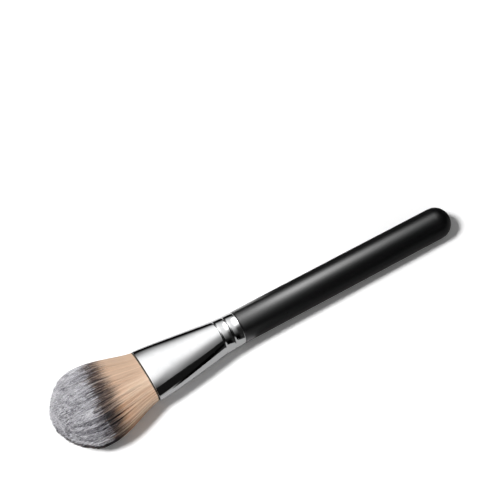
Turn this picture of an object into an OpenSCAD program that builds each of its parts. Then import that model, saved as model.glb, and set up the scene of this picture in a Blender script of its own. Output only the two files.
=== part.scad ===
// Oval makeup brush: a flattened tuft of soft fibre, held in a pressed metal ferrule
// that is crimped onto a turned, lacquered handle.
// It lies on the floor, z = 0, on the underside of its tuft and the end of its handle.
// Sizes are first set out along the brush's own axis: x runs from the ferrule's mouth
// at x = 0 to the end of the handle, y across the width and z through the thickness.

/* [Handle] */
// Length of handle behind the ferrule
handle_len = 100; // [70:0.5:140]
// Diameter of the handle next to the ferrule
handle_d = 13.7; // [11:0.05:16]
// Diameter of the handle's ball-shaped end
butt_d = 13.2; // [10:0.05:16]
// Rounding of the handle's edge next to the ferrule
shoulder_r = 0.4; // [0.2:0.05:0.8]

/* [Ferrule] */
// Length of the ferrule from its mouth to the handle
ferrule_len = 41.8; // [38:0.1:55]
// Width of the flattened mouth
mouth_w = 22.7; // [18:0.1:30]
// Thickness of the flattened mouth
mouth_t = 9; // [7.6:0.1:13]
// Squareness of the mouth's oval, where 2 is a plain ellipse
mouth_square = 3; // [2:0.1:4]
// Length behind the mouth over which that squareness fades to a plain ellipse
square_len = 8; // [5:0.5:20]
// How much the flare's width swells between collar and mouth, where 1 is a straight line
flare_swell = 1.25; // [1:0.05:1.6]
// Thickness of the ferrule's wall
ferrule_wall = 0.4; // [0.3:0.05:0.6]

/* [Crimped collar] */
// Diameter at the front crimp, where the flare ends
collar_front_d = 14.2; // [13.2:0.05:16]
// Diameter at the collar's back edge
collar_back_d = 13.1; // [12:0.05:15]
// Length of each of the two bands
band_len = 4.4; // [3.5:0.1:6]
// How far a band bulges between its edges
band_bulge = 0.28; // [0.1:0.02:0.5]
// Depth of a crimp below its band's edges
crimp_depth = 0.3; // [0.15:0.05:0.45]
// Half width of a crimp
crimp_w = 0.38; // [0.3:0.02:0.6]

/* [Tuft] */
// Length of tuft in front of the ferrule
tuft_out = 40.8; // [34:0.1:60]
// Width of the tuft at its widest place
tuft_w = 34.5; // [28:0.1:44]
// Thickness of the tuft at its thickest place
tuft_t = 19; // [15:0.1:26]
// Distance from the mouth to the widest place
belly_out = 25; // [18:0.1:28]
// Depth of the hollows between locks of fibre
lock_depth = 0.45; // [0.1:0.05:0.8]
// How unevenly the rounded end is feathered
feather = 1.1; // [0.2:0.1:1.6]
// Sideways lean of the tuft
tuft_lean = 0.6; // [0:0.1:2]
// How far the tuft sags
tuft_sag = 0.6; // [0:0.1:1.5]
// How far the floor presses the underside flat
floor_press = 0.6; // [0.3:0.05:1]

/* [Knot inside the ferrule] */
// Depth to which the fibre roots reach behind the mouth
root_in = 26.6; // [22:0.1:28]
// Diameter of the binding thread
thread_d = 0.8; // [0.4:0.05:1]
// Number of turns of the binding thread
thread_turns = 5; // [3:1:6]
// Length of root that the resin holds
resin_grip = 2.2; // [1:0.1:4]
// Thickness of resin behind the roots
resin_floor = 1.6; // [1:0.1:3]

/* [Hidden] */

// Clearances: glued or packed faces, and the thread's on the fibre
glue_gap = 0.08;
thread_gap = 0.03;
// Facets round the ferrule's sections and round the tuft, and steps along the plain part of the flare
ferrule_n = 60;
tuft_n = 96;
flare_steps = 8;
turned_fn = 96;

// Places along the axis
crimp_front = ferrule_len - 2 * band_len;
crimp_back = ferrule_len - band_len;
resin_front = root_in - resin_grip;
resin_back = root_in + resin_floor;
tenon_front = resin_back + 0.5;
thread_front = resin_front - 0.4 - thread_turns * thread_d;
butt_x = ferrule_len + handle_len - butt_d / 2;

// Rest on the floor: the tuft's underside and the ball-shaped end both touch it
belly_drop = tuft_t / 2 + tuft_sag;
belly_span = butt_x + belly_out;
rest_drop = floor_press + butt_d / 2;
rest_tilt = atan(belly_drop / belly_span)
    - asin(rest_drop / sqrt(belly_span * belly_span + belly_drop * belly_drop));
mouth_z = butt_d / 2 + butt_x * sin(rest_tilt);

// The origin is under the middle of the brush
front_x = -tuft_out * cos(rest_tilt) - tuft_sag * sin(rest_tilt);
back_x = butt_x * cos(rest_tilt) + butt_d / 2;
middle_x = (front_x + back_x) / 2;

function power(v, e) = sign(v) * pow(abs(v), e);
function mix(a, b, k) = a + (b - a) * k;
function smooth(k) = k * k * (3 - 2 * k);
function clamp01(k) = min(1, max(0, k));

// A point of the brush's own axes, laid on the floor
function laid(p) = [
    p[0] * cos(rest_tilt) + p[2] * sin(rest_tilt) - middle_x,
    p[1] + tuft_lean,
    p[2] * cos(rest_tilt) - p[0] * sin(rest_tilt) + mouth_z
];

// One closed ring of n points across the axis: a superellipse of half width a and half thickness b
function ring(x, a, b, e, n) = [
    for (i = [0 : n - 1])
        let (t = 360 * i / n)
        [x, a * power(cos(t), 2 / e), b * power(sin(t), 2 / e)]
];

// Radius line of the collar from its front crimp to its back edge
function collar_line(x) =
    mix(collar_front_d, collar_back_d, (x - crimp_front) / (2 * band_len)) / 2;

// Bulged bands with narrow crimps pressed between them
function crimp(x, at) = crimp_depth * exp(-pow((x - at) / crimp_w, 2));
function bulge(x) = band_bulge * abs(sin(180 * (x - crimp_front) / band_len));
function curl(x) = x < crimp_front ? 0 : bulge(x);
function collar_r(x) = collar_line(x) + curl(x) - crimp(x, crimp_front) - crimp(x, crimp_back);

// Outer half width, half thickness and squareness of the ferrule at x: the width swells
// towards the mouth, while the top and bottom run straight
function flare(x) = 1 - pow(clamp01(x / crimp_front), flare_swell);
function slope(x) = 1 - clamp01(x / crimp_front);
function ferrule_a(x) = x > crimp_front ? collar_r(x)
    : mix(collar_front_d / 2, mouth_w / 2, flare(x)) - crimp(x, crimp_front);
function ferrule_b(x) = x > crimp_front ? collar_r(x)
    : mix(collar_front_d / 2, mouth_t / 2, slope(x)) - crimp(x, crimp_front);
function ferrule_e(x) = mix(mouth_square, 2, clamp01(x / square_len));

// A ring of the ferrule set in by a distance, and of what fills the ferrule
function ferrule_ring(x, inset) =
    ring(x, ferrule_a(x) - inset, ferrule_b(x) - inset, ferrule_e(x), ferrule_n);
filling = ferrule_wall + glue_gap;

// Stations along the ferrule: close to the mouth, even on the flare and close again at each crimp
mouth_at = [for (k = [0.25, 0.5, 0.75]) k * square_len];
flare_end = crimp_front - 3 * crimp_w;
flare_at = [for (i = [0 : flare_steps]) mix(square_len, flare_end, i / flare_steps)];
crimp_steps = [-1.6, -0.8, 0, 0.8, 1.6];
band_steps = [0.3, 0.5, 0.7];
collar_at = concat(
    [for (k = crimp_steps) crimp_front + k * crimp_w],
    [for (k = band_steps) crimp_front + k * band_len],
    [for (k = crimp_steps) crimp_back + k * crimp_w],
    [for (k = band_steps) crimp_back + k * band_len],
    [ferrule_len - 0.12 * band_len]
);
inner_collar_at = concat(
    [for (k = crimp_steps) crimp_front + k * crimp_w],
    [crimp_front + band_len / 2],
    [for (k = crimp_steps) crimp_back + k * crimp_w],
    [crimp_back + band_len / 2]
);
lip_r = ferrule_wall / 3;

// Triangles from ring a to ring b, of n points each, and the flat face that caps a last ring
function band_faces(a, b, n) = [
    for (j = [0 : n - 1])
        let (k = (j + 1) % n)
        each [[a * n + j, b * n + j, b * n + k], [a * n + j, b * n + k, a * n + k]]
];
function cap_face(a, n) = [[for (j = [n - 1 : -1 : 0]) a * n + j]];

// A shell whose rings run out along its outer face and back along its inner one
module shell_body(rings) {
    m = len(rings);
    n = len(rings[0]);
    polyhedron(
        points = [for (r = rings) each r],
        faces = [for (i = [0 : m - 1]) each band_faces(i, (i + 1) % m, n)],
        convexity = 6
    );
}

// A solid whose rings start from a point and end in a flat cap
module dome_body(tip, rings) {
    m = len(rings);
    n = len(rings[0]);
    polyhedron(
        points = concat([for (r = rings) each r], [tip]),
        faces = concat(
            [for (j = [0 : n - 1]) [m * n, j, (j + 1) % n]],
            [for (i = [0 : m - 2]) each band_faces(i, i + 1, n)],
            cap_face(m - 1, n)
        ),
        convexity = 6
    );
}

// A solid with a flat cap at each end
module plug_body(rings) {
    m = len(rings);
    n = len(rings[0]);
    polyhedron(
        points = [for (r = rings) each r],
        faces = concat(
            [[for (j = [0 : n - 1]) j]],
            [for (i = [0 : m - 2]) each band_faces(i, i + 1, n)],
            cap_face(m - 1, n)
        ),
        convexity = 2
    );
}

module on_floor() {
    translate([-middle_x, tuft_lean, mouth_z]) rotate([0, rest_tilt, 0]) children();
}

// Turns a profile drawn as [radius, x] round the brush's axis
module turned() {
    rotate([0, 90, 0]) rotate_extrude($fn = turned_fn) children();
}

// Tenon that fills the crimped collar, a soft-edged shoulder, a slight taper and a ball-shaped end
module handle() {
    tenon_at = concat([tenon_front + 0.6], [for (x = inner_collar_at) if (x > tenon_front + 1) x],
        [ferrule_len]);
    butt_r = butt_d / 2;
    color([0.07, 0.07, 0.075]) on_floor() turned() {
        polygon(concat(
            [[0, tenon_front], [collar_r(tenon_front + 0.6) - filling - 0.9, tenon_front]],
            [for (x = tenon_at) [min(ferrule_b(x), collar_r(x)) - filling, x]],
            [[0, ferrule_len]]
        ));
        polygon([
            [0, ferrule_len],
            [handle_d / 2 - shoulder_r, ferrule_len],
            [handle_d / 2 - shoulder_r * (1 - sin(45)), ferrule_len + shoulder_r * (1 - cos(45))],
            [handle_d / 2, ferrule_len + shoulder_r],
            [butt_r, butt_x],
            [0, butt_x]
        ]);
        intersection() {
            translate([0, butt_x]) circle(r = butt_r);
            translate([0, butt_x - 1]) square([butt_r, butt_r + 1]);
        }
    }
}

// Thin pressed shell: flattened mouth, swelling flare and a round collar with two crimps
module ferrule() {
    color([0.85, 0.86, 0.87]) on_floor() shell_body(concat(
        [ferrule_ring(0, lip_r), ferrule_ring(lip_r, 0)],
        [for (x = mouth_at) ferrule_ring(x, 0)],
        [for (x = flare_at) ferrule_ring(x, 0)],
        [for (x = collar_at) ferrule_ring(x, 0)],
        [ferrule_ring(ferrule_len, lip_r), ferrule_ring(ferrule_len, ferrule_wall)],
        [for (i = [len(inner_collar_at) - 1 : -1 : 0]) ferrule_ring(inner_collar_at[i], ferrule_wall)],
        [for (i = [flare_steps : -2 : 0]) ferrule_ring(flare_at[i], ferrule_wall)],
        [ferrule_ring(mouth_at[1], ferrule_wall), ferrule_ring(0, ferrule_wall)]
    ));
}

// Neck of the knot where the thread is wound: round, and as wide as the ferrule leaves room for
neck_r = min(ferrule_a(thread_front), ferrule_b(thread_front)) - filling - thread_d - thread_gap - 0.05;
root_r = neck_r + 0.4;

// Locks of fibre: hollows that run from the mouth to the rounded end, uneven round the tuft
function locks(t) = 0.5 + 0.28 * cos(11 * t + 50 * sin(2 * t)) + 0.22 * cos(24 * t + 40 * sin(3 * t));
// Feathered ends of the locks, from the longest at 0 to the shortest at 1
function ends(t) = 0.5 + 0.3 * cos(13 * t + 60 * sin(3 * t)) + 0.2 * cos(29 * t + 30 * sin(t));

// Half sizes of the tuft at a share k of the way from the mouth to the widest place
function spread(k) = pow(sin(90 * k), 1.37);
// Half sizes of the rounded end at a share k of the way from the widest place to the tip
function taper_w(k) = pow(1 - pow(k, 1.8), 0.6);
function taper_t(k) = pow(1 - pow(k, 1.6), 0.7);

dome_len = tuft_out - belly_out;
mouth_a = mouth_w / 2 - filling;
mouth_b = mouth_t / 2 - filling;

// A point of the tuft: pressed flat where the floor would cut it
function pressed(p) = let (q = laid(p)) [q[0], q[1], max(q[2], 0)];
function tuft_point(x, a, b, e, t, hollow, drift) =
    let (keep = 1 - hollow * locks(t) / max(a, 2 * hollow))
    pressed([
        x,
        a * keep * power(cos(t), 2 / e) - tuft_lean * drift,
        b * keep * power(sin(t), 2 / e) - tuft_sag * drift
    ]);
function tuft_ring(x, a, b, e, hollow, drift, uneven) = [
    for (i = [0 : tuft_n - 1])
        let (t = 360 * i / tuft_n)
        tuft_point(x + uneven * ends(t), a, b, e, t, hollow, drift)
];

dome_at = [0.985, 0.95, 0.9, 0.84, 0.77, 0.69, 0.6, 0.5, 0.38, 0.22];
spread_at = [1, 0.86, 0.72, 0.59, 0.47, 0.36, 0.26, 0.17, 0.1, 0.04];

function dome_ring(k) = tuft_ring(
    -belly_out - dome_len * k, tuft_w / 2 * taper_w(k), tuft_t / 2 * taper_t(k),
    mix(2.3, 2, k), lock_depth * (1 - pow(k, 4)), 1, feather * (1 - pow(k, 6)) * smooth(k)
);
function belly_ring(k) = tuft_ring(
    -belly_out * k, mix(mouth_a, tuft_w / 2, spread(k)), mix(mouth_b, tuft_t / 2, spread(k)),
    mix(mouth_square, 2.3, k), lock_depth * smooth(k), smooth(k), 0
);
function knot_ring(x, k) =
    let (a = mix(ferrule_a(x) - filling, neck_r, k), b = mix(ferrule_b(x) - filling, neck_r, k))
    [for (p = ring(x, a, b, mix(ferrule_e(x), 2, k), tuft_n)) laid(p)];
function root_ring(x, r) = [for (p = ring(x, r, r, 2, tuft_n)) laid(p)];

module bristle_tuft() {
    neck_x = thread_front - 0.3;
    color([0.78, 0.68, 0.6]) dome_body(
        laid([-tuft_out, -tuft_lean, -tuft_sag]),
        concat(
            [for (k = dome_at) dome_ring(k)],
            [for (k = spread_at) belly_ring(k)],
            [for (k = [0 : 0.25 : 1]) knot_ring(neck_x * k, smooth(k))],
            [root_ring(resin_front - 0.3, neck_r), root_ring(root_in, root_r)]
        )
    );
}

// Turns of thread drawn tight round the neck of the knot
module binding_thread() {
    color([0.86, 0.84, 0.8]) on_floor() turned()
        for (i = [0 : thread_turns - 1])
            translate([neck_r + thread_gap + thread_d / 2, thread_front + (i + 0.5) * thread_d])
                circle(d = thread_d * 1.02, $fn = 24);
}

// Set resin that fills the ferrule behind the thread and holds the roots
module resin_plug() {
    color([0.88, 0.8, 0.6]) on_floor() difference() {
        plug_body([for (k = [0 : 0.5 : 1]) ferrule_ring(mix(resin_front, resin_back, k), filling)]);
        turned() polygon([
            [0, resin_front - 1],
            [neck_r + glue_gap, resin_front - 1],
            [root_r + glue_gap, root_in + glue_gap],
            [0, root_in + glue_gap]
        ]);
    }
}

handle();
ferrule();
bristle_tuft();
binding_thread();
resin_plug();
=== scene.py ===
"""Looks of the oval makeup brush: satin black handle, bright ferrule and a tuft of real fibres.

Lengths are in millimetres along the brush's own axis, as in the part's source, and are turned
into metres in the row frame by laid(): x runs from the ferrule's mouth to the handle's end.
"""
import math
from types import SimpleNamespace

import bmesh
import bpy
import numpy as np
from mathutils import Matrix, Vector


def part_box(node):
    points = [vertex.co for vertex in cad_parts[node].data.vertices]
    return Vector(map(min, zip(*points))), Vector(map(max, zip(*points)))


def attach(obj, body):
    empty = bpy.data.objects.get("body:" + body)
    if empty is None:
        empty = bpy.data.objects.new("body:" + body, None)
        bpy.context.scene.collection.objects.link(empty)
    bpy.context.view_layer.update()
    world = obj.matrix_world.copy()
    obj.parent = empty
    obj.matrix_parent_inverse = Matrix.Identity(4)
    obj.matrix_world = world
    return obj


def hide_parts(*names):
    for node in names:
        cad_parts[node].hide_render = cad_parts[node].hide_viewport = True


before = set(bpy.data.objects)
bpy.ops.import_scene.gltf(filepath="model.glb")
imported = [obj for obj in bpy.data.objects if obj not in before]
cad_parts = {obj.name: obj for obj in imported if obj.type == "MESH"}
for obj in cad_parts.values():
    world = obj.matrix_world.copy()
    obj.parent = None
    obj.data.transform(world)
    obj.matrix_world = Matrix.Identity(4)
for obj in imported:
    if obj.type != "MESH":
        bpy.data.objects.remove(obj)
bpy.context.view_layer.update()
MM = 0.001

# Driving sizes of the brush, the same as the part's
FERRULE_LEN, HANDLE_LEN = 41.8, 100
WALL = 0.4
FLARE_SWELL = 1.25
BAND_LEN = 4.4
BUTT_R = 6.6
TUFT_OUT, TUFT_W, TUFT_T = 40.8, 34.5, 19.0
BELLY_OUT = 25.0
TUFT_LEAN, TUFT_SAG = 0.6, 0.6
REST_TILT = math.radians(1.0367)
# These differ a little from the part's, for the ferrule's reflections
MOUTH_W, MOUTH_T, MOUTH_SQUARE, SQUARE_LEN = 23.6, 9.4, 2.15, 16.0
COLLAR_FRONT_D, COLLAR_BACK_D = 14.6, 13.7
BAND_BULGE = 0.035
CRIMP_DEPTH, CRIMP_W = 0.2, 0.25

CRIMP_FRONT = FERRULE_LEN - 2 * BAND_LEN
CRIMP_BACK = FERRULE_LEN - BAND_LEN
DOME_LEN = TUFT_OUT - BELLY_OUT

# Where the ferrule's mouth lies in the row frame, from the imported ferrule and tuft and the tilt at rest
FERRULE_LOW, FERRULE_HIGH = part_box("ferrule")
TUFT_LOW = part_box("bristle_tuft")[0]
AXIS_Y = (FERRULE_LOW.y + FERRULE_HIGH.y) / 2
MOUTH_X = TUFT_LOW.x + (TUFT_OUT * math.cos(REST_TILT) + TUFT_SAG * math.sin(REST_TILT)) * MM
BUTT_X = FERRULE_LEN + HANDLE_LEN - BUTT_R
MOUTH_Z = (BUTT_R + BUTT_X * math.sin(REST_TILT)) * MM


def laid(p):
    """Points in millimetres along the brush's axis, as metres in the row frame."""
    p = np.asarray(p, float)
    out = np.empty_like(p)
    out[..., 0] = p[..., 0] * math.cos(REST_TILT) + p[..., 2] * math.sin(REST_TILT)
    out[..., 1] = p[..., 1]
    out[..., 2] = p[..., 2] * math.cos(REST_TILT) - p[..., 0] * math.sin(REST_TILT)
    return out * MM + np.array([MOUTH_X, AXIS_Y, MOUTH_Z])


def smooth(k):
    return k * k * (3 - 2 * k)


def rise(v, start, span):
    """A smooth step: 0 up to start, 1 from start + span."""
    return smooth(np.clip((v - start) / span, 0, 1))


def mix(a, b, k):
    return a + (b - a) * k


def power(v, e):
    return np.sign(v) * np.abs(v) ** e


# Materials

def linear(r, g, b):
    """A colour given as it looks on screen, from 0 to 255, in scene light."""
    def one(v):
        v = v / 255
        return v / 12.92 if v <= 0.04045 else ((v + 0.055) / 1.055) ** 2.4
    return (one(r), one(g), one(b), 1.0)


class Nodes:
    """Short ways to build a material's or the world's nodes."""

    def __init__(self, owner):
        owner.use_nodes = True
        self.tree = owner.node_tree
        self.tree.nodes.clear()

    def add(self, kind, inputs=(), **settings):
        """A node with its settings. An input's value is a constant or another node's output."""
        node = self.tree.nodes.new(kind)
        for name, value in settings.items():
            setattr(node, name, value)
        for key, value in dict(inputs).items():
            if isinstance(value, bpy.types.NodeSocket):
                self.tree.links.new(value, node.inputs[key])
            else:
                node.inputs[key].default_value = value
        return node

    def surface(self, kind, inputs):
        """The material's shader and its output."""
        self.add("ShaderNodeOutputMaterial", {"Surface": self.add(kind, inputs).outputs[0]})

    def math(self, operation, a, b=0.0, clamp=False):
        return self.add("ShaderNodeMath", {0: a, 1: b}, operation=operation, use_clamp=clamp).outputs[0]

    def ramp(self, factor, stops, mode="LINEAR"):
        node = self.add("ShaderNodeValToRGB", {"Fac": factor})
        node.color_ramp.interpolation = mode
        points = node.color_ramp.elements
        while len(points) < len(stops):
            points.new(0.5)
        for point, (at, colour) in zip(points, stops):
            point.position = at
            point.color = colour if len(colour) == 4 else (*colour, 1.0)
        return node.outputs["Color"]

    def blend(self, factor, a, b, blend_type="MIX"):
        node = self.add("ShaderNodeMix", data_type="RGBA", blend_type=blend_type)
        for socket, value in zip((node.inputs[0], node.inputs[6], node.inputs[7]), (factor, a, b)):
            if isinstance(value, bpy.types.NodeSocket):
                self.tree.links.new(value, socket)
            else:
                socket.default_value = value
        return node.outputs[2]

    def noise(self, vector, detail):
        return self.add("ShaderNodeTexNoise", {"Vector": vector, "Scale": 1.0, "Detail": detail,
                                               "Roughness": 0.5}).outputs["Fac"]

    def stretch(self, scale, where=None):
        """The coordinates where, or else the object's own in metres, times scale on each axis."""
        if where is None:
            where = self.add("ShaderNodeTexCoord").outputs["Object"]
        return self.add("ShaderNodeMapping", {"Vector": where, "Scale": scale}).outputs["Vector"]

    def place(self):
        """The object's own x, y and z in metres."""
        where = self.add("ShaderNodeTexCoord").outputs["Object"]
        split = self.add("ShaderNodeSeparateXYZ", {"Vector": where})
        return [split.outputs[axis] for axis in "XYZ"]

    def span(self, value, low, high, start=0.0, end=1.0):
        """From start to end as value goes from low to high, and level outside."""
        return self.add("ShaderNodeMapRange",
                        {"Value": value, 1: low, 2: high, 3: start, 4: end}).outputs[0]

    def curve(self, value, stops):
        """Level over value in straight lines between stops, each (value, level)."""
        low, high = stops[0][0], stops[-1][0]
        return self.ramp(self.span(value, low, high),
                         [((at - low) / (high - low), grey(level)) for at, level in stops])


def grey(v):
    return (v, v, v, 1.0)


def lacquer():
    """Satin black lacquer on turned wood: a faint long grain and orange peel under a soft gloss."""
    mat = bpy.data.materials.new("satin_black_lacquer")
    n = Nodes(mat)
    grain = n.noise(n.stretch((60, 900, 900)), 4.0)
    peel = n.noise(n.stretch((900, 900, 900)), 2.0)
    colour = n.ramp(grain, [(0.3, (0.0024, 0.0024, 0.0026)), (0.7, (0.0042, 0.0042, 0.0045))])
    rough = n.math("ADD", n.math("MULTIPLY", peel, 0.06), 0.26)
    height = n.math("ADD", n.math("MULTIPLY", grain, 0.4), peel)
    bump = n.add("ShaderNodeBump", {"Height": height, "Strength": 0.04, "Distance": 0.0001})
    n.surface("ShaderNodeBsdfPrincipled", {
        "Base Color": colour, "Roughness": rough, "IOR": 1.5, "Normal": bump.outputs["Normal"],
        "Coat Weight": 1.0, "Coat Roughness": 0.23, "Coat IOR": 1.55,
    })
    return mat


def plating():
    """Bright plating: nearly a mirror, with faint draw marks along the pressed shell."""
    mat = bpy.data.materials.new("bright_plating")
    n = Nodes(mat)
    marks = n.noise(n.stretch((120, 2600, 2600)), 3.0)
    cloud = n.noise(n.stretch((260, 260, 260)), 2.0)
    rough = n.math("ADD", n.math("MULTIPLY", marks, 0.04), 0.025)
    colour = n.ramp(cloud, [(0.25, (0.60, 0.605, 0.61)), (0.75, (0.65, 0.65, 0.655))])
    bump = n.add("ShaderNodeBump", {"Height": marks, "Strength": 0.03, "Distance": 0.00005})
    n.surface("ShaderNodeBsdfPrincipled", {
        "Base Color": colour, "Metallic": 1.0, "Roughness": rough, "Normal": bump.outputs["Normal"],
    })
    return mat


TONE_STOPS = (0.0, 0.3, 0.55, 0.8, 1.0)
STREAK_SCALE, STREAK_REACH = (30, 70, 1), 2.5


def tones(*colours):
    """Colour stops by a strand's tone, from the darkest strand to the palest."""
    return [(at, linear(*colour)) for at, colour in zip(TONE_STOPS, colours)]


def fibre(name, shade=1.0):
    """Fibre colour by two coordinates on each strand: how far along the tuft, and the strand's tone."""
    mat = bpy.data.materials.new(name)
    n = Nodes(mat)
    where = n.add("ShaderNodeUVMap", uv_map="strand").outputs["UV"]
    split = n.add("ShaderNodeSeparateXYZ", {"Vector": where})
    along, own = split.outputs["X"], split.outputs["Y"]
    # Past the root, the tone wanders along each strand in short streaks
    streak = n.noise(n.stretch(STREAK_SCALE, where), 1.0)
    wander = n.math("MULTIPLY", n.math("SUBTRACT", streak, 0.5), STREAK_REACH)
    which = n.math("ADD", own, wander, clamp=True)
    root = n.ramp(own, tones(
        (214, 166, 128), (223, 187, 157), (227, 197, 171), (247, 214, 187), (255, 231, 206)))
    band = n.ramp(which, [(0.0, linear(34, 30, 32)), (0.5, linear(76, 64, 62)),
                          (0.8, linear(118, 100, 92)), (1.0, linear(176, 156, 144))])
    end = n.ramp(which, tones(
        (66, 64, 69), (140, 138, 146), (208, 206, 213), (241, 240, 247), (255, 255, 255)))
    tip = n.ramp(which, tones(
        (84, 82, 88), (166, 164, 171), (232, 230, 236), (250, 249, 253), (255, 255, 255)))
    to_band = n.ramp(along, [(0.31, grey(0)), (0.45, grey(1))], "EASE")
    to_end = n.ramp(along, [(0.48, grey(0)), (0.62, grey(1))], "EASE")
    to_tip = n.ramp(along, [(0.7, grey(0)), (0.92, grey(1))])
    # Painted shade: the dark line where the fibres leave the ferrule's mouth, standing for the shadow in
    # the gap under its lip
    painted_mouth_shade = n.ramp(along, [(0.0, grey(0.03)), (0.0105, grey(0.04)), (0.014, grey(1))])
    colour = n.blend(to_end, n.blend(to_band, root, band), end)
    colour = n.blend(to_tip, colour, tip)
    colour = n.blend(1.0, colour, painted_mouth_shade, "MULTIPLY")
    # A shade below 1 darkens the whole colour: painted shade
    if shade < 1:
        colour = n.blend(1.0, colour, grey(shade), "MULTIPLY")
    n.surface("ShaderNodeBsdfPrincipled", {
        "Base Color": colour, "Roughness": 0.5, "Specular IOR Level": 0.35,
        "Sheen Weight": 0.1, "Sheen Roughness": 0.4,
    })
    return mat


def thread():
    """Twisted binding thread."""
    mat = bpy.data.materials.new("twisted_thread")
    n = Nodes(mat)
    ply = n.noise(n.stretch((3000, 900, 900)), 2.0)
    colour = n.ramp(ply, [(0.3, linear(196, 190, 176)), (0.7, linear(226, 222, 210))])
    bump = n.add("ShaderNodeBump", {"Height": ply, "Strength": 0.3, "Distance": 0.0001})
    n.surface("ShaderNodeBsdfPrincipled", {
        "Base Color": colour, "Roughness": 0.8, "Normal": bump.outputs["Normal"]})
    return mat


def resin():
    """Set amber resin."""
    mat = bpy.data.materials.new("amber_resin")
    n = Nodes(mat)
    cloud = n.noise(n.stretch((300, 300, 300)), 2.0)
    colour = n.ramp(cloud, [(0.3, linear(186, 156, 96)), (0.7, linear(206, 180, 122))])
    n.surface("ShaderNodeBsdfPrincipled", {"Base Color": colour, "Roughness": 0.2})
    return mat


def dress(obj, mat):
    obj.data.materials.clear()
    obj.data.materials.append(mat)


# Meshes

UV_MAPS = ("OFBake", "strand")


def mesh_object(name, verts, faces, uvs=None):
    """A mesh object from arrays. uvs holds one pair for each vertex, for both maps."""
    mesh = bpy.data.meshes.new(name)
    verts = np.asarray(verts, np.float32).reshape(-1, 3)
    faces = np.asarray(faces, np.int32)
    sides = faces.shape[1]
    mesh.vertices.add(len(verts))
    mesh.vertices.foreach_set("co", verts.ravel())
    mesh.loops.add(faces.size)
    mesh.loops.foreach_set("vertex_index", faces.ravel())
    mesh.polygons.add(len(faces))
    mesh.polygons.foreach_set("loop_start", np.arange(0, faces.size, sides, dtype=np.int32))
    mesh.polygons.foreach_set("loop_total", np.full(len(faces), sides, np.int32))
    mesh.polygons.foreach_set("use_smooth", np.ones(len(faces), bool))
    mesh.update(calc_edges=True)
    if uvs is not None:
        per_loop = np.asarray(uvs, np.float32)[faces.ravel()]
        for map_name in UV_MAPS:
            mesh.uv_layers.new(name=map_name).data.foreach_set("uv", per_loop.ravel())
    mesh.validate()
    obj = bpy.data.objects.new(name, mesh)
    bpy.context.scene.collection.objects.link(obj)
    return obj


def ring_faces(rings, around, closed=False):
    """Quads between neighbouring rings of a loft."""
    j = np.arange(around)
    k = (j + 1) % around
    out = []
    for i in range(rings if closed else rings - 1):
        a, b = i * around, ((i + 1) % rings) * around
        out.append(np.stack([a + j, b + j, b + k, a + k], -1))
    return np.concatenate(out)


# Ferrule

def flare(x):
    """How far the width at x still is from round: 1 at the mouth, 0 from the front crimp."""
    return 1 - np.clip(x / CRIMP_FRONT, 0, 1) ** FLARE_SWELL


def crimp(x, at):
    """Depth at x of the crimp at the place at."""
    return CRIMP_DEPTH * np.exp(-((x - at) / CRIMP_W) ** 2)


def collar_r(x):
    """The collar's radius at x: a slight taper, two bulging bands and the two crimps."""
    line = mix(COLLAR_FRONT_D, COLLAR_BACK_D, (x - CRIMP_FRONT) / (2 * BAND_LEN)) / 2
    bulge = BAND_BULGE * np.abs(np.sin(math.pi * (x - CRIMP_FRONT) / BAND_LEN))
    return line + np.where(x < CRIMP_FRONT, 0, bulge) - crimp(x, CRIMP_FRONT) - crimp(x, CRIMP_BACK)


def ferrule_half(x, mouth, opened):
    """Half the ferrule's width or thickness at x, from the mouth's and from how open it is there."""
    on_flare = mix(COLLAR_FRONT_D / 2, mouth / 2, opened) - crimp(x, CRIMP_FRONT)
    return np.where(x > CRIMP_FRONT, collar_r(x), on_flare)


def ferrule_e(x):
    """How square the section is at x: 2 is an ellipse, more is squarer."""
    return mix(MOUTH_SQUARE, 2, rise(x, 0, SQUARE_LEN))


def section(a, b, e, t):
    """A point at angle t on a superellipse with half axes a and b."""
    return a * power(np.cos(t), 2 / e), b * power(np.sin(t), 2 / e)


def ferrule_stations():
    """Where the shell's rings lie, as (x, how far in), round the wall: closest over the collar."""
    outer = np.concatenate([
        np.linspace(0.25, CRIMP_FRONT - 2, 26),
        np.linspace(CRIMP_FRONT - 1.8, FERRULE_LEN - 0.2, 90),
    ])
    inner = np.concatenate([
        np.linspace(0.4, CRIMP_FRONT - 2, 12),
        np.linspace(CRIMP_FRONT - 1, FERRULE_LEN - 0.3, 14),
    ])
    lip = WALL / 2
    turn = np.linspace(0, math.pi, 7)
    front = [(lip - lip * math.sin(a), lip + lip * math.cos(a)) for a in turn]
    back = [(FERRULE_LEN - lip + lip * math.sin(a), lip - lip * math.cos(a)) for a in turn]
    return front + [(x, 0.0) for x in outer] + back + [(x, WALL) for x in inner[::-1]]


def make_ferrule():
    """The pressed shell: a loft from its oval mouth to its round collar, closed over both lips."""
    around = 240
    t = np.linspace(0, 2 * math.pi, around, endpoint=False)
    stations = ferrule_stations()
    points = []
    for x, inset in stations:
        xs = np.full(around, x)
        half_w = ferrule_half(xs, MOUTH_W, flare(xs)) - inset
        half_t = ferrule_half(xs, MOUTH_T, 1 - np.clip(xs / CRIMP_FRONT, 0, 1)) - inset
        y, z = section(half_w, half_t, ferrule_e(xs), t)
        points.append(np.stack([xs, y, z], -1))
    faces = ring_faces(len(stations), around, True)
    obj = mesh_object("ferrule_shell", laid(np.concatenate(points)), faces)
    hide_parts("ferrule")
    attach(obj, "root")
    dress(obj, plating())


# Tuft

GLUE_GAP = 0.08
MOUTH_A = MOUTH_W / 2 - WALL - GLUE_GAP
MOUTH_B = MOUTH_T / 2 - WALL - GLUE_GAP
BELLY_SQUARE = 2.25
# How far the strands draw together at the rounded end
GATHER = 0.1
# Heights in metres over the floor: of the lowest points, of the lowest strands at most, and of the core
FLOOR_CLEAR, BED_HIGH, CORE_CLEAR = 0.00004, 0.0005, 0.0008


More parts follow.
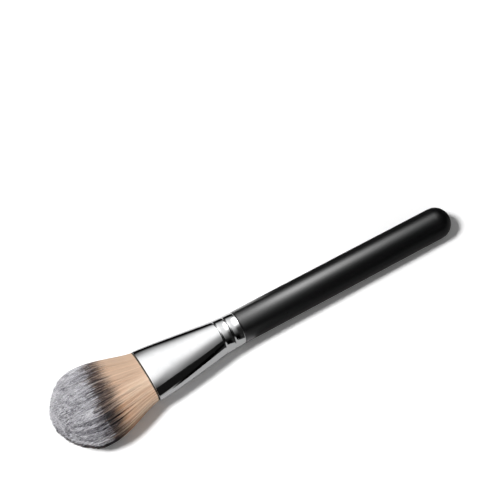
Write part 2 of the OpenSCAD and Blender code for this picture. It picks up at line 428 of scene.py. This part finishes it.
def spread(k):
    """How far the tuft has grown from the mouth's section to the belly's, at share k of the way."""
    return np.sin(math.pi / 2 * np.clip(k, 0, 1)) ** 1.37


def taper_w(k):
    """What is left of the belly's width at share k of the rounded end."""
    return (1 - np.clip(k, 0, 1) ** 1.8) ** 0.6


def taper_t(k):
    """What is left of the belly's thickness at share k of the rounded end."""
    return (1 - np.clip(k, 0, 1) ** 1.6) ** 0.7


def fibre_place(x, rho, t, gather=GATHER, wide=1.0, deep=1.0):
    """Where a strand at share rho of the section and angle t runs at x.

    wide and deep scale the section.
    """
    front = np.clip(-x / BELLY_OUT, 0, 1)
    k = np.clip((-x - BELLY_OUT) / DOME_LEN, 0, 1)
    grow = spread(front)
    e = mix(MOUTH_SQUARE, BELLY_SQUARE, front)
    a = mix(MOUTH_A, TUFT_W / 2, grow) * (1 - gather * k * k) * wide
    b = mix(MOUTH_B, TUFT_T / 2, grow) * (1 - gather * k * k) * deep
    y, z = section(a * rho, b * rho, e, t)
    drift = smooth(front)
    return y - TUFT_LEAN * drift, z - TUFT_SAG * drift


def press(points, low=FLOOR_CLEAR):
    """The floor presses the underside flat, at the height low."""
    points[..., 2] = np.maximum(points[..., 2], low)
    return points


# The core's share of the section, its dark tone, which with its darker material is painted shade of the
# fibres deep inside, and the place along the tuft that colours its tip
CORE_SHARE, CORE_TONE, CORE_TIP = 0.94, 0.12, 0.9


def make_core(mat):
    """The dense inside of the tuft, which closes the gaps between its fibres."""
    around = 96
    t = np.linspace(0, 2 * math.pi, around, endpoint=False)
    dome = -BELLY_OUT - DOME_LEN * np.linspace(0.08, 0.9, 12)
    stops = np.concatenate([np.linspace(2, -BELLY_OUT, 16), dome])
    points, uvs = [], []
    for x in stops:
        k = max(0.0, (-x - BELLY_OUT) / DOME_LEN)
        xs = np.full(around, x)
        y, z = fibre_place(xs, CORE_SHARE, t, 0.0, taper_w(k), taper_t(k))
        points.append(np.stack([xs, y, z], -1))
        uvs.append(np.stack([np.full(around, -x / TUFT_OUT), np.full(around, CORE_TONE)], -1))
    points.append(np.array([[-BELLY_OUT - DOME_LEN * 0.93, -TUFT_LEAN, -TUFT_SAG]]))
    uvs.append(np.array([[CORE_TIP, CORE_TONE]]))
    points, uvs = np.concatenate(points), np.clip(np.concatenate(uvs), 0.001, 0.999)
    quads = ring_faces(len(stops), around)
    obj = mesh_object("tuft_core", press(laid(points), CORE_CLEAR), quads, uvs)
    close_ends(obj, len(stops), around)
    dress(obj, mat)
    return obj


def close_ends(obj, rings, around):
    """Caps the root of the core and closes its rounded end on the last point."""
    bm = bmesh.new()
    bm.from_mesh(obj.data)
    bm.verts.ensure_lookup_table()
    first = [bm.verts[i] for i in range(around)]
    last = [bm.verts[(rings - 1) * around + i] for i in range(around)]
    tip = bm.verts[rings * around]
    bm.faces.new(first[::-1])
    layers = [bm.loops.layers.uv[name] for name in UV_MAPS]
    for i in range(around):
        face = bm.faces.new((last[i], last[(i + 1) % around], tip))
        face.smooth = True
        for loop in face.loops:
            for layer in layers:
                loop[layer].uv = (CORE_TIP, CORE_TONE)
    bmesh.ops.recalc_face_normals(bm, faces=bm.faces)
    bm.to_mesh(obj.data)
    bm.free()


# A strand's sides and middle radius, the strands in a bundle, and the locks round the tuft
STRAND_SIDES, STRAND_R = 3, 0.085
BUNDLE = 4
LOCKS = 46
# Where a strand of the outer layer starts, just inside the ferrule's mouth
ROOT_X = 0.15
# The band by its place across the belly, in millimetres: where along the tuft it starts and ends
BAND_START = ([-16, -10, -4, 10, 16], [0.47, 0.44, 0.405, 0.395, 0.36])
BAND_END = ([-16, -10, -6, -2, 2, 10, 16], [0.70, 0.69, 0.685, 0.655, 0.595, 0.54, 0.48])
# The colour coordinate's shares for the root, the band and the end, and a strand's middle tone
ROOT_SHARE, BAND_SHARE, END_SHARE = 0.40, 0.16, 0.44
MIDDLE_TONE = 0.55
PALE_END = 1.4


def bundle_plan(rng, bundles, rho_low, rho_high):
    """Each bundle's place in the section, its lock, its end and its tone, repeated for its strands."""
    t = rng.uniform(0, 2 * math.pi, bundles)
    rho = np.sqrt(rng.uniform(rho_low ** 2, rho_high ** 2, bundles))
    across, over = rho * np.cos(t), rho * np.sin(t)
    # All pieces have the same locks
    lock = np.floor(t / (2 * math.pi) * LOCKS).astype(int) % LOCKS
    wave = np.random.default_rng(5).normal(0, 1, LOCKS)[lock]
    turn = np.random.default_rng(6).uniform(-0.3, 0.3, LOCKS)[lock]
    lock_mid = (lock + 0.5 + turn) / LOCKS * 2 * math.pi
    # Locks part most on the -Y side, where the loose edge hangs
    loose = np.clip(0.12 - 0.95 * np.cos(t), 0.03, 1.0)
    # Where each bundle ends: the rounded end's outline, a little uneven
    grid = np.linspace(0, 0.999, 300)
    drawn_in = 1 - GATHER * grid * grid
    reach = np.hypot(across[:, None] * drawn_in / taper_w(grid), over[:, None] * drawn_in / taper_t(grid))
    k_end = grid[np.argmax(reach > 1, axis=1)]
    x_tip = -BELLY_OUT - DOME_LEN * k_end + rng.normal(0, 0.4 + 0.25 * (1 - k_end), bundles)
    x_tip += np.where(rho > 0.97, rng.uniform(-0.6, 2.0, bundles), 0)
    x_tip = np.maximum(x_tip, -TUFT_OUT - 0.2)
    tone = rng.normal(0, 0.2, bundles) + 0.04 * wave
    shift = rng.normal(0, 0.02, bundles) + 0.005 * wave * (0.4 + loose)
    # Painted shade: the lower bundles on that side stay dark almost to their ends, a black fringe where
    # the underside of its edge lies in shade
    under = rise(0.11 + rng.normal(0, 0.05, bundles) - over, 0, 0.12) * rise(0.1 - np.cos(t), 0, 0.5)
    plan = {"across": across, "over": over, "wave": wave, "lock_mid": lock_mid, "loose": loose,
            "x_tip": x_tip, "tone": tone, "shift": shift, "under": under}
    return SimpleNamespace(**{key: np.repeat(value, BUNDLE) for key, value in plan.items()})


def strand_lines(rng, bed_rng, plan, start, rings):
    """The strands' stations x and ends in millimetres, their centre lines in the row frame and radii."""
    count = len(plan.across)
    own = rng.normal(0, 0.011, (count, 2))
    x_end = plan.x_tip + rng.normal(0, 0.22, count)
    if start is None:
        # A short first step, so that the end cap's normals don't dim the rest of the root
        x_start = np.full(count, ROOT_X)
        share = np.append(0, np.linspace(0.012, 1, rings - 1))
    else:
        x_start = x_end + start
        share = np.linspace(0, 1, rings) ** 0.9
    x = x_start[:, None] + (x_end - x_start)[:, None] * share
    out = np.clip(-x / TUFT_OUT, 0, 1)
    # A strand runs a little off its bundle's place, and closer to it further out
    astray = 1.3 - 0.9 * smooth(np.clip(out * 1.4, 0, 1))
    p = plan.across[:, None] + own[:, :1] * astray
    q = plan.over[:, None] + own[:, 1:] * astray
    rho, t = np.minimum(np.hypot(p, q), 1.0), np.arctan2(q, p)
    # Near the ferrule the outer layer lies close and even, but less so on the loose side
    loose = plan.loose[:, None]
    close = 1 - (1 - rho) * mix(0.3, 0.8, loose)
    rho = np.where(rho > 0.88, mix(close, rho, rise(-x, 12, 12)), rho)
    # Each lock draws its fibres together further out, and its edges sink
    off = (plan.lock_mid[:, None] - t + math.pi) % (2 * math.pi) - math.pi
    pull = loose * rise(out, mix(0.3, 0.08, loose), 0.3) * (0.35 + 0.65 * rho ** 6)
    half_lock = math.pi / LOCKS
    sink = 1 - 0.04 * pull * np.clip(np.abs(off) / half_lock, 0, 1.3) ** 2 * rho ** 4
    y, z = fibre_place(x, rho * sink, t + 0.42 * pull * off)
    bend = rng.normal(0, 0.3, (count, 2))
    y = y + bend[:, :1] * out ** 4
    z = z + bend[:, 1:] * out ** 4
    thick = STRAND_R * rng.uniform(0.75, 1.3, count)[:, None] * (1 - 0.7 * share ** 5)
    # The lowest strands lie on the floor side by side and a little over each other
    bed = bed_rng.uniform(FLOOR_CLEAR, BED_HIGH, count)[:, None]
    line = press(laid(np.stack([x, y, z], -1)), bed + thick * MM)
    return x, x_end, line, thick


def strand_tubes(line, thick, spin):
    """A closed tube round each line: a ring of points at each of its stations, and a cap at each end."""
    count, rings = line.shape[:2]
    ahead = np.gradient(line, axis=1)
    ahead /= np.linalg.norm(ahead, axis=2, keepdims=True)
    side = np.cross(ahead, np.array([0.0, 0.0, 1.0]))
    side /= np.linalg.norm(side, axis=2, keepdims=True)
    up = np.cross(side, ahead)
    rims = []
    for i in range(STRAND_SIDES):
        angle = spin + 2 * math.pi * i / STRAND_SIDES
        rims.append(line + (side * np.cos(angle)[..., None] + up * np.sin(angle)[..., None])
                    * thick[..., None] * MM)
    points = press(np.stack(rims, 2).reshape(-1, 3))
    index = np.arange(count * rings * STRAND_SIDES).reshape(count, rings, STRAND_SIDES)
    faces = []
    for i in range(STRAND_SIDES):
        j = (i + 1) % STRAND_SIDES
        a, b = index[:, :-1, i].ravel(), index[:, 1:, i].ravel()
        c, d = index[:, 1:, j].ravel(), index[:, :-1, j].ravel()
        faces.append(np.stack([a, b, c], -1))
        faces.append(np.stack([a, c, d], -1))
    faces.append(index[:, 0, :].reshape(-1, 3))
    faces.append(index[:, -1, ::-1].reshape(-1, 3))
    return points, np.concatenate(faces)


def strand_colours(rng, plan, x, x_end):
    """Colour coordinates: place along the tuft, with the band's ragged edges, and the strand's tone."""
    count = len(x)
    belly_y = TUFT_W / 2 * plan.across
    stray = plan.shift + rng.normal(0, 0.02, count)
    b1 = (np.interp(belly_y, *BAND_START) + stray)[:, None]
    b2 = (np.interp(belly_y, *BAND_END) + 1.5 * stray)[:, None]
    u = -x / TUFT_OUT
    u = u + rng.normal(0, 0.01, count)[:, None] * rise(u, 0.02, 0.1)
    along = np.where(u < b1, u * ROOT_SHARE / b1, np.where(
        u < b2, ROOT_SHARE + (u - b1) * BAND_SHARE / (b2 - b1),
        ROOT_SHARE + BAND_SHARE + (u - b2) * END_SHARE / (1 - b2)))
    # The last PALE_END millimetres of a strand that ends past the band are coloured as the tuft's tip:
    # partly the fibres' own pale tips, partly painted light on each tip
    to_end = x - x_end[:, None]
    pale = np.where((to_end < PALE_END) & (along > 0.52), 1 - to_end / PALE_END * 0.12, 0)
    along = np.maximum(along, pale)
    # Painted shade: the bundles under the lower edge keep the band's dark colour almost to their ends
    along = np.where(along > 0.46, mix(along, 0.46, plan.under[:, None]), along)
    along = np.clip(along, 0.002, 0.998)
    # On the loose side pale locks alternate with dark ones
    apart = rise(-belly_y, 2, 12)
    alone = np.where(rng.uniform(0, 1, count) < 0.3 + 0.3 * apart,
                     rng.normal(0, 0.2, count) * (1 + apart), rng.normal(0, 0.006, count))
    # The bundles under the lower edge are also made darker in tone: painted shade
    tone = MIDDLE_TONE + plan.tone + alone + 0.42 * plan.wave * apart - 0.45 * plan.under
    # Painted shade: the strands between the middle and the loose side are made a little darker
    tone = tone - 0.04 * (rise(-belly_y, -1, 6) * (1 - 0.7 * rise(-belly_y, 9, 5)))
    # Painted light: the roots are made paler on the loose side, to brighten that side; away from it they
    # are more even
    near_root = 1 - rise(u, 0.25, 0.15)
    even = (1 - 0.8 * apart) * (tone - MIDDLE_TONE)
    paler = 0.36 * rise(-belly_y, -4, 8)[:, None] - 0.6 * even[:, None]
    own = np.clip(tone[:, None] + paler * near_root, 0.01, 0.99)
    uv = np.stack([along, own], -1)
    return uv[:, :, None, :].repeat(STRAND_SIDES, 2).reshape(-1, 2)


def strands(name, mat, seed, bundles, rho_low, rho_high, start, rings):
    """One piece of many tapered fibres in small bundles, each a thin tube to the tuft's surface.

    start is how many millimetres before its end a strand starts, or None for the ferrule's mouth.
    """
    rng = np.random.default_rng(seed)
    plan = bundle_plan(rng, bundles, rho_low, rho_high)
    x, x_end, line, thick = strand_lines(rng, np.random.default_rng(seed + 100), plan, start, rings)
    spin = rng.uniform(0, 2 * math.pi, len(x))[:, None]
    points, faces = strand_tubes(line, thick, spin)
    obj = mesh_object(name, points, faces, strand_colours(rng, plan, x, x_end))
    dress(obj, mat)
    return obj


# The layers of strands: pieces, first seed, and each piece's bundles, rho_low, rho_high, start and rings
LAYERS = {"outer_fibres": (2, 11, (800, 0.9, 1.0, None, 10)),
          "inner_fibres": (3, 31, (2150, 0.0, 0.97, 7.0, 4))}


def make_tuft():
    """The core and its layers of strands, which replace the tuft together."""
    strand_mat = fibre("soft_fibre")
    # The core's material is darkened: painted shade of the tuft's inside
    core = make_core(fibre("fibre_depth_painted_shade", 0.7))
    pieces = [core]
    for layer, (number, seed, how) in LAYERS.items():
        for i in range(number):
            pieces.append(strands(f"{layer}_{i + 1}", strand_mat, seed + i, *how))
    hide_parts("bristle_tuft")
    for piece in pieces:
        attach(piece, "root")


# Stage: floor, cards and light tent that only reflections see, light and camera

SHEET_HALF = 3


def flat_sheet(name, z):
    """A level square round the brush, SHEET_HALF metres to each side."""
    corners = [(-1, -1), (1, -1), (1, 1), (-1, 1)]
    return mesh_object(name, [(x * SHEET_HALF, y * SHEET_HALF, z) for x, y in corners], [(0, 1, 2, 3)])


# The floor's white as the camera sees it near the tuft and near the handle's end, the range of x in
# metres over which it changes, and the white that lights the brush. The lower white towards the handle's
# end is painted shade: the lit floor stays white and the shadow there comes out darker.
FLOOR_SEEN, FLOOR_SEEN_FAR, FLOOR_FADE = 1.2, 1.04, (0.0, 0.07)
FLOOR_FELT = 0.75


def make_floor():
    """A floor that camera, mirrors and glass see as white, and that lights the brush as plain paper."""
    floor = flat_sheet("floor", 0.0)
    mat = bpy.data.materials.new("white_floor")
    n = Nodes(mat)
    x = n.place()[0]
    # Painted shade: the seen white falls towards the handle's end, which darkens the shadow there
    seen = n.blend(n.span(x, *FLOOR_FADE), grey(FLOOR_SEEN), grey(FLOOR_SEEN_FAR))
    colour = n.blend(seen_directly(n), grey(FLOOR_FELT), seen)
    n.surface("ShaderNodeBsdfDiffuse", {"Color": colour})
    dress(floor, mat)


def seen_directly(n):
    """One for a ray that looks at the background: from the camera, off a mirror or through glass."""
    path = n.add("ShaderNodeLightPath").outputs
    seen = n.math("MAXIMUM", path["Is Camera Ray"], path["Is Glossy Ray"])
    return n.math("MAXIMUM", seen, path["Is Transmission Ray"])


def mirrored_only(obj):
    """Stage gear that only bright surfaces show, as the photographer's cards and light tent."""
    for ray in ("camera", "diffuse", "transmission", "volume_scatter", "shadow"):
        setattr(obj, "visible_" + ray, False)


def glow(name, level):
    """A black cloth or card, with a light of its own at the faint level that it shows in the metal."""
    mat = bpy.data.materials.new(name)
    Nodes(mat).surface("ShaderNodeEmission", {"Color": grey(1.0), "Strength": level})
    return mat


# The floor card under the brush, as bright surfaces show it: a painted reflection of the floor. In front
# of the axis, a line of (x, y) in metres parts its light part from a dark one, which is darker still
# further off; near the axis the dark part is painted shadow of the brush.
CARD_Z = 0.0004
CARD_LINE = [(-0.004, -0.004), (0.0, -0.030), (0.002, -0.052), (0.006, -0.066), (0.010, -0.085),
             (0.018, -0.118), (0.039, -0.184), (0.085, -0.300), (0.5, -1.3)]
CARD_LINE_BLUR = (-0.005, 0.006)
CARD_FRONT, CARD_NEAR, CARD_FAR = 0.57, 0.07, 0.02
CARD_DISTANT = (-0.05, -0.09)
# Behind the axis, its tone by y in metres, and the range of x - PAST_SLOPE * y where it goes dark
CARD_BACK = [(0.0, 0.5), (0.006, 1.05), (0.040, 1.05), (0.050, 0.35), (0.058, 0.01), (0.1, 0.01)]
CARD_PAST, PAST_SLOPE, PAST_TONE = (-0.010, -0.003), 0.6, 0.02


def make_floor_card():
    """The floor as bright surfaces show it: painted reflection, with painted shadow near the brush."""
    card = flat_sheet("card_floor", CARD_Z)
    mat = bpy.data.materials.new("grey_card")
    n = Nodes(mat)
    x, y, _ = n.place()
    line = n.curve(x, [(at, -level) for at, level in CARD_LINE])
    nearer = n.span(n.math("ADD", y, line), *CARD_LINE_BLUR)
    # Painted shade: the card's dark part, the brush's shadow near the axis and darker still further off
    dark = n.blend(n.span(y, *CARD_DISTANT), grey(CARD_NEAR), grey(CARD_FAR))
    front = n.blend(nearer, grey(CARD_FRONT), dark)
    # Seen past the brush's far edge, only the ferrule has the pale part behind it
    past = n.span(n.math("SUBTRACT", x, n.math("MULTIPLY", y, PAST_SLOPE)), *CARD_PAST)
    back = n.blend(past, n.curve(y, CARD_BACK), grey(PAST_TONE))
    n.surface("ShaderNodeBsdfDiffuse", {"Color": n.blend(n.math("GREATER_THAN", y, 0.0), front, back)})
    dress(card, mat)
    mirrored_only(card)


# The outline of the black card overhead, and its height, in metres
OVER_EDGE = [(0.5, -0.9), (0.30, -0.62), (0.075, -0.206), (0.030, -0.127), (0.009, -0.090),
             (0.001, -0.078), (-0.006, -0.068), (-0.0125, -0.0595), (-0.016, -0.0525),
             (-0.020, -0.0465), (-0.0235, -0.042), (-0.0275, -0.0385), (-0.031, -0.0365),
             (-0.035, -0.035), (-0.040, -0.034), (-0.047, -0.035), (-0.090, -0.085),
             (-0.35, -0.40), (-1.2, -1.4), (0.5, -1.4)]
OVER_Z = 0.1
OVER_LEVEL, END_LEVEL = 0.011, 0.002


def make_card_over():
    """A black card overhead whose edge crosses the ferrule's reflection."""
    points = [(x, y, OVER_Z) for x, y in OVER_EDGE]
    over = mesh_object("card_over", points, [tuple(range(len(points)))])
    dress(over, glow("black_card", OVER_LEVEL))
    mirrored_only(over)


# The light tent round the brush, half a cylinder: its light as (angle, light), by the angle in degrees
# from straight up, positive behind the brush. Its part for the ferrule is broad, the handle's narrow.
TENT_FERRULE = [(-90, 0.0), (-36, 0.0), (-30, 0.05), (-24, 0.13), (-20, 0.2), (-16, 0.3), (-12, 0.43),
                (-8, 0.62), (-4, 0.88), (0, 1.16), (5, 1.41), (10, 1.55), (15, 1.62), (20, 1.75),
                (27, 1.85), (35, 1.78), (45, 1.56), (50, 1.46), (55, 1.3), (60, 1.08), (66, 0.76),
                (69, 0.6), (72, 0.48), (76, 0.38), (80, 0.28), (85, 0.16), (90, 0.05)]
TENT_HANDLE = [(-90, 0.03), (-60, 0.02), (-44, 0.02), (-34, 0.03), (-21, 0.08), (-10, 0.4), (0, 1.2),
               (10, 3.1), (20, 5.6), (28, 6.6), (38, 6.3), (46, 4.0), (54, 1.6), (64, 0.25),
               (72, 0.06), (80, 0.02), (90, 0.02)]
# The light behind ends softly above the floor, and a low wall in front has some of its own
TENT_SKYLINE = [(68, 1.0), (74, 0.6), (80, 0.08), (85, 0.0)]
TENT_LOW = [(-90, 0.62), (-80, 0.56), (-74, 0.45), (-69, 0.25), (-65, 0.1), (-60, 0.0), (90, 0.0)]
# By x in metres: how the broad light is spread in front of and behind its middle angle, where it
# fades, where the low wall ends, where the handle's part takes over and how strong the whole tent is
TENT_MIDDLE = 27
TENT_SPREAD_FRONT = [(-0.02, 1.17), (-0.006, 0.97), (0.002, 0.92), (0.02, 0.78), (0.03, 0.70),
                     (0.05, 0.72)]
TENT_SPREAD_BACK = [(-0.02, 1.42), (0.0, 1.15), (0.015, 1.02), (0.04, 0.92), (0.05, 0.92)]
TENT_FADE = [(-0.02, 1.0), (0.04, 1.0), (0.058, 0.75), (0.08, 0.75)]
LOW_WALL_END = (0.033, 0.043)
HANDLE_FROM = (0.068, 0.078)
TENT_REACH = [(0.055, 1.0), (0.068, 1.0), (0.078, 1.5), (0.088, 1.15), (0.10, 0.76), (0.12, 0.51),
              (0.14, 0.32), (0.16, 0.18), (0.20, 0.055), (0.32, 0.02)]
# The strongest light in the lists, which a colour ramp's white stands for
TENT_PEAK = 6.6
TENT_R = 0.25
TENT_ENDS = (-1.0, 0.32)
TENT_STEPS = 48


def by_angle(n, share, light, peak=TENT_PEAK):
    """Light by the share of the half turn from the front floor to the back floor."""
    return n.ramp(share, [((angle + 90) / 180, grey(level / peak)) for angle, level in light])


def tent_light(n):
    """The tent's light by its own x and by the angle round the brush's axis."""
    x, y, z = n.place()
    share = n.math("ADD", n.math("DIVIDE", n.math("ARCTAN2", y, z), math.pi), 0.5)
    middle = TENT_MIDDLE / 180 + 0.5
    front, back = n.curve(x, TENT_SPREAD_FRONT), n.curve(x, TENT_SPREAD_BACK)
    off = n.math("SUBTRACT", share, middle)
    before, after = n.math("MINIMUM", off, 0.0), n.math("MAXIMUM", off, 0.0)
    spaced = n.math("ADD", n.math("MULTIPLY", before, front), n.math("MULTIPLY", after, back))
    spaced = n.math("ADD", spaced, middle)
    skyline = by_angle(n, share, TENT_SKYLINE, 1.0)
    broad = n.blend(1.0, by_angle(n, spaced, TENT_FERRULE), skyline, "MULTIPLY")
    broad = n.blend(1.0, broad, n.curve(x, TENT_FADE), "MULTIPLY")
    wall = n.span(x, *LOW_WALL_END, 1.0, 0.0)
    low_wall = n.blend(1.0, by_angle(n, share, TENT_LOW), wall, "MULTIPLY")
    broad = n.blend(1.0, broad, low_wall, "ADD")
    light = n.blend(n.span(x, *HANDLE_FROM), broad, by_angle(n, share, TENT_HANDLE))
    return n.math("MULTIPLY", n.math("MULTIPLY", light, TENT_PEAK), n.curve(x, TENT_REACH))


def make_tent():
    """Half a cylinder of light round the brush, with a black cloth at each end."""
    turns = [math.pi * (i / TENT_STEPS - 0.5) for i in range(TENT_STEPS + 1)]
    points = [(x, TENT_R * math.sin(a), TENT_R * math.cos(a)) for x in TENT_ENDS for a in turns]
    faces = [(i, i + 1, i + TENT_STEPS + 2, i + TENT_STEPS + 1) for i in range(TENT_STEPS)]
    tent = mesh_object("light_tent", points, faces)
    mat = bpy.data.materials.new("light_tent")
    n = Nodes(mat)
    n.surface("ShaderNodeEmission", {"Color": grey(1.0), "Strength": tent_light(n)})
    dress(tent, mat)
    mirrored_only(tent)
    for i, end in enumerate(TENT_ENDS):
        shape = [(end, -TENT_R, 0), (end, TENT_R, 0), (end, TENT_R, TENT_R), (end, -TENT_R, TENT_R)]
        cap = mesh_object(f"tent_end_{i + 1}", shape, [(0, 1, 2, 3)])
        dress(cap, glow("black_cloth", END_LEVEL))
        mirrored_only(cap)


# The sky's light on everything that doesn't see it directly
FILL = 0.145


def make_world():
    """A white sky that gives the brush only a little light."""
    world = bpy.data.worlds.new("studio")
    bpy.context.scene.world = world
    n = Nodes(world)
    level = n.math("MAXIMUM", seen_directly(n), FILL)
    sky = n.add("ShaderNodeBackground", {"Color": grey(1.0), "Strength": level})
    n.add("ShaderNodeOutputWorld", {"Surface": sky.outputs["Background"]})


def aim(obj, place, target):
    """Puts a lamp or camera at a place, turned to the target."""
    obj.location = place
    obj.rotation_euler = (Vector(target) - Vector(place)).to_track_quat("-Z", "Y").to_euler()


# Each lamp: the direction that it shines from, its strength and how wide it looks in degrees
LAMPS = {"key": ((-0.64, 0.09, 1.0), 3.04, 14),
         "fill": ((-0.3, -0.8, 0.6), 0.3, 70)}


def make_light():
    """Lamps that bright surfaces don't show, since the tent and cards are made for those."""
    for name, (slope, energy, wide) in LAMPS.items():
        lamp = bpy.data.lights.new(name, "SUN")
        lamp.energy = energy
        lamp.angle = math.radians(wide)
        obj = bpy.data.objects.new(name, lamp)
        bpy.context.scene.collection.objects.link(obj)
        aim(obj, Vector(slope), (0, 0, 0))
        obj.visible_glossy = False


# The camera fitted to the photograph: its direction, distance and target in metres, and its focal
# length in pixels of a picture that is PICTURE pixels wide
CAMERA_AZIMUTH, CAMERA_ELEVATION = math.radians(-30.775), math.radians(62.389)
CAMERA_AWAY = 0.85
CAMERA_TARGET = Vector((0.01340, 0.02815, 0.008))
FOCAL_PIXELS, PICTURE = 2101.55, 500
SENSOR = 36.0


def make_camera():
    lens = bpy.data.cameras.new("camera")
    lens.sensor_width = SENSOR
    lens.sensor_fit = "HORIZONTAL"
    lens.lens = FOCAL_PIXELS * SENSOR / PICTURE
    lens.clip_start, lens.clip_end = 0.01, 20
    camera = bpy.data.objects.new("camera", lens)
    bpy.context.scene.collection.objects.link(camera)
    flat = math.cos(CAMERA_ELEVATION)
    toward = Vector((math.sin(CAMERA_AZIMUTH) * flat, -math.cos(CAMERA_AZIMUTH) * flat,
                     math.sin(CAMERA_ELEVATION)))
    aim(camera, CAMERA_TARGET + toward * CAMERA_AWAY, CAMERA_TARGET)
    bpy.context.scene.camera = camera


make_camera()
make_world()
make_tent()
make_light()
make_floor()
make_floor_card()
make_card_over()
dress(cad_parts["handle"], lacquer())
dress(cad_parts["binding_thread"], thread())
dress(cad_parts["resin_plug"], resin())
make_ferrule()
make_tuft()
bpy.context.scene.view_settings.view_transform = "Standard"
